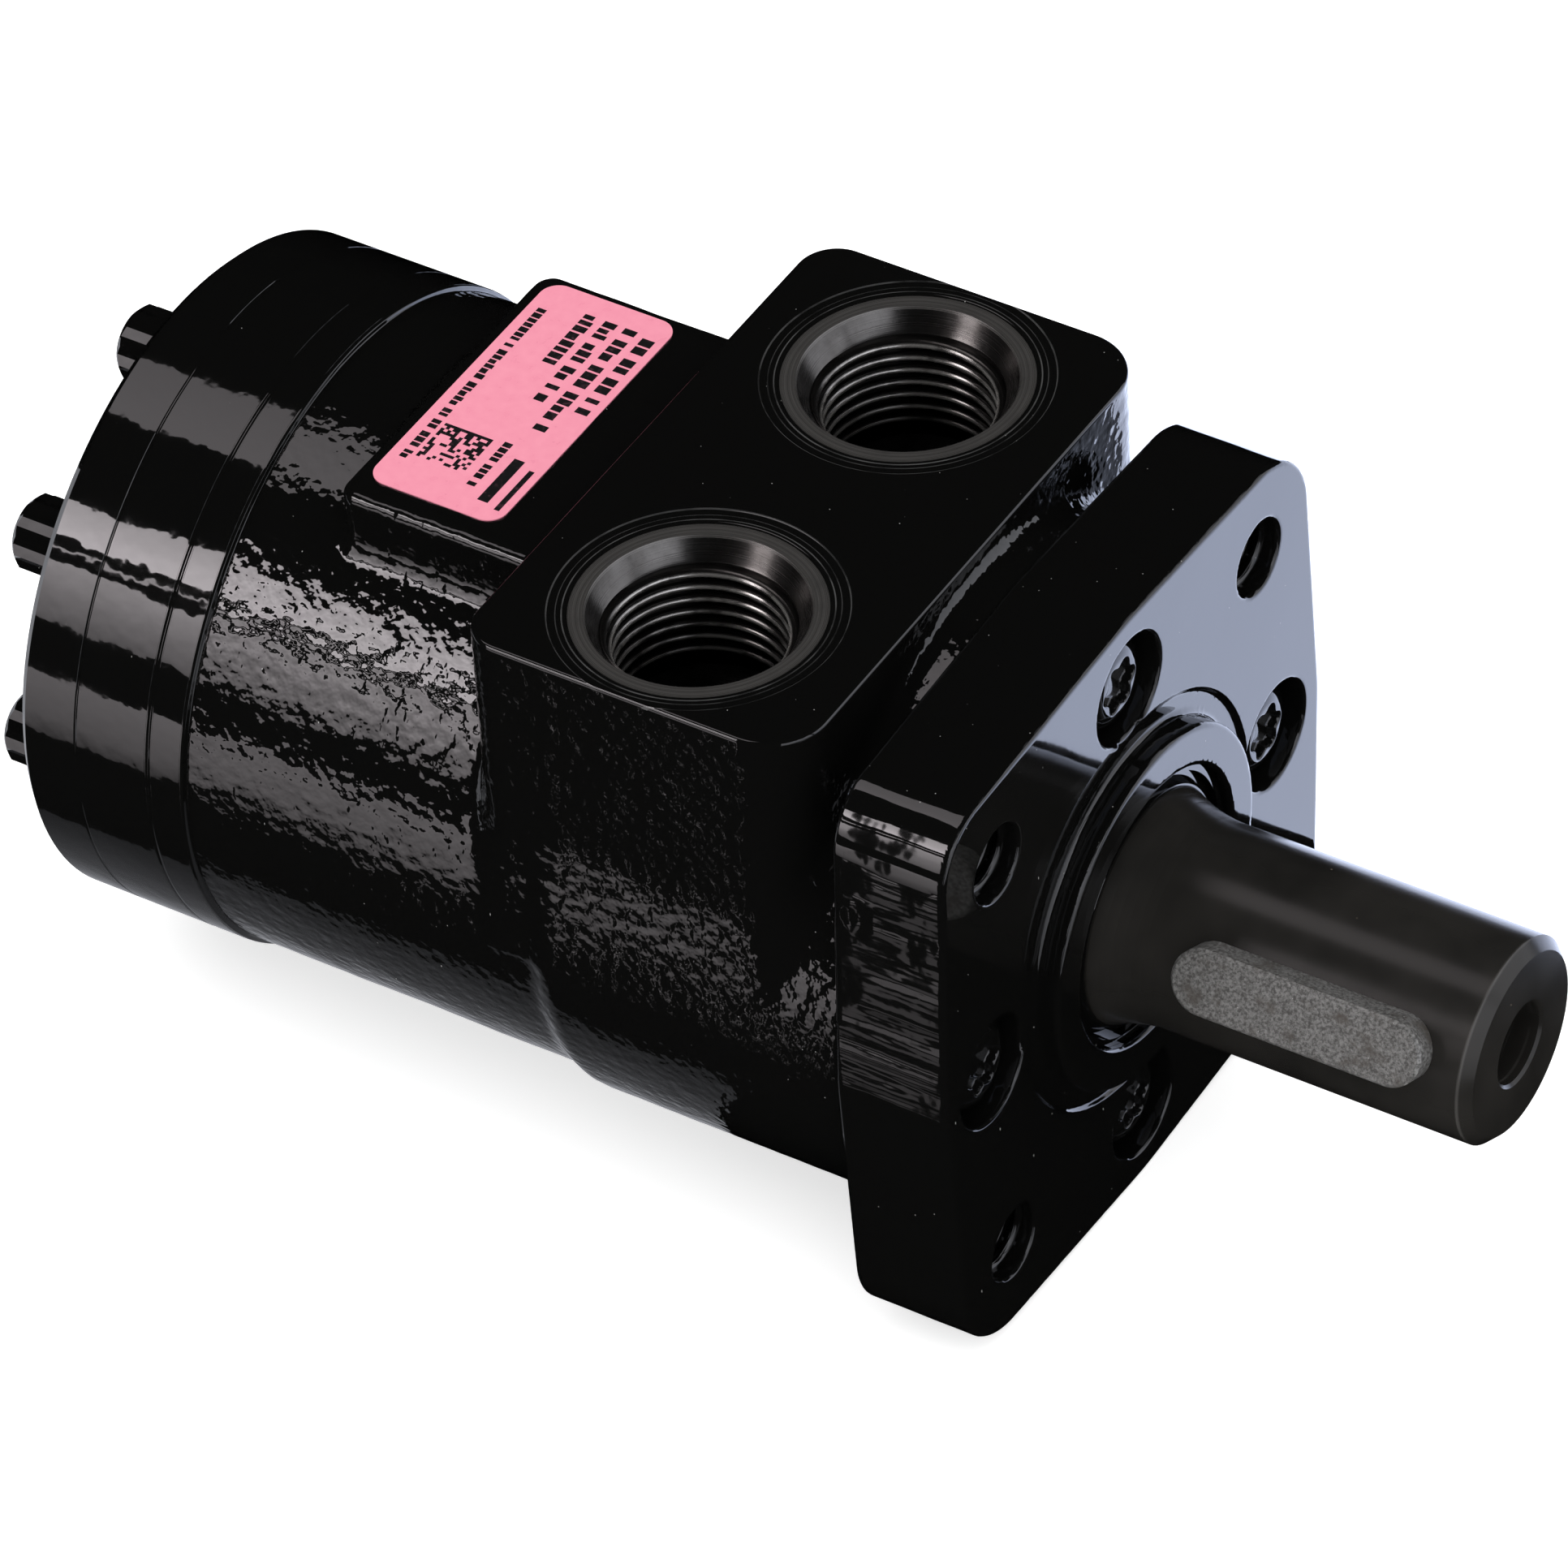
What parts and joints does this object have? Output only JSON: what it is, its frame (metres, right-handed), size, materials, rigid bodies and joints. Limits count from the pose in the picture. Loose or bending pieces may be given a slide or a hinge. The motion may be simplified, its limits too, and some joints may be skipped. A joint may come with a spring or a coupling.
{
  "type": "hydraulic motor",
  "caption": "Orbit-type hydraulic motor with a square mounting flange, side ports on top and a keyed straight output shaft.",
  "frame": {"origin": "centre of the mounting hole circle, on the shaft axis in the plane of the mounting face", "axes": "+X along the output shaft away from the body, +Z out of the ports, +Y across the body"},
  "size_m": [0.1836, 0.0846, 0.0866],
  "materials": {
    "housing": "thick gloss black enamel over sand-cast iron, bumpy",
    "front_flange": "thick gloss black enamel, smooth face and milled sides",
    "end_cap": "thick gloss black enamel over turned steel",
    "gerotor_ring": "thick gloss black enamel over turned steel",
    "gerotor_star": "ground and lapped",
    "spacer_plate": "thick gloss black enamel over turned steel",
    "output_shaft": "satin black phosphate",
    "shaft_key": "matt grey bare steel",
    "drive_link": "hardened steel",
    "drive_spacer": "ground steel",
    "thrust_race": "ground steel",
    "bearing_cage": "pressed steel",
    "thrust_needles": "ground steel",
    "shaft_seal": "moulded rubber",
    "backup_washer": "plain steel washer",
    "dust_seal": "moulded rubber with paint on it",
    "flange_seal": "moulded rubber",
    "housing_seal": "moulded rubber",
    "spacer_seal": "moulded rubber",
    "end_cap_seal": "moulded rubber",
    "flange_screws": "gloss black enamel over steel",
    "end_cap_screws": "gloss black enamel over steel",
    "name_label": "pink coated label with black print"
  },
  "bodies": {
    "body": {"housing": "housing", "front_flange": "front_flange", "end_cap": "end_cap", "gerotor_ring": "gerotor_ring", "spacer_plate": "spacer_plate", "thrust_race": "thrust_race", "shaft_seal": "shaft_seal", "backup_washer": "backup_washer", "dust_seal": "dust_seal", "flange_seal": "flange_seal", "housing_seal": "housing_seal", "spacer_seal": "spacer_seal", "end_cap_seal": "end_cap_seal", "flange_screws": "flange_screws", "end_cap_screws": "end_cap_screws", "name_label": "name_label"},
    "shaft": {"output_shaft": "output_shaft", "shaft_key": "shaft_key"},
    "bearing": {"bearing_cage": "bearing_cage", "thrust_needles": "thrust_needles"},
    "orbit": {"drive_spacer": "drive_spacer"},
    "star": {"gerotor_star": "gerotor_star"},
    "link": {"drive_link": "drive_link"}
  },
  "joints": [
    {"name": "shaft_spin", "type": "hinge", "parent": "body", "child": "shaft", "pos_m": [0, 0, 0], "axis": [1, 0, 0], "continuous": true},
    {"name": "bearing_spin", "type": "hinge", "parent": "body", "child": "bearing", "pos_m": [-0.017, 0, 0], "axis": [1, 0, 0], "continuous": true},
    {"name": "star_orbit", "type": "hinge", "parent": "body", "child": "orbit", "pos_m": [-0.1168, 0, 0], "axis": [1, 0, 0], "continuous": true},
    {"name": "star_spin", "type": "hinge", "parent": "orbit", "child": "star", "pos_m": [-0.11292, 0, 0.0022], "axis": [1, 0, 0], "continuous": true},
    {"name": "link_spin", "type": "hinge", "parent": "orbit", "child": "link", "pos_m": [-0.062, 0, 0], "axis": [0.999, 0, -0.0445], "continuous": true}
  ],
  "couplings": [
    {"joint": "bearing_spin", "follows": "shaft_spin", "ratio": 0.5},
    {"joint": "star_orbit", "follows": "shaft_spin", "ratio": -6},
    {"joint": "star_spin", "follows": "shaft_spin", "ratio": 7},
    {"joint": "link_spin", "follows": "shaft_spin", "ratio": 7}
  ]
}
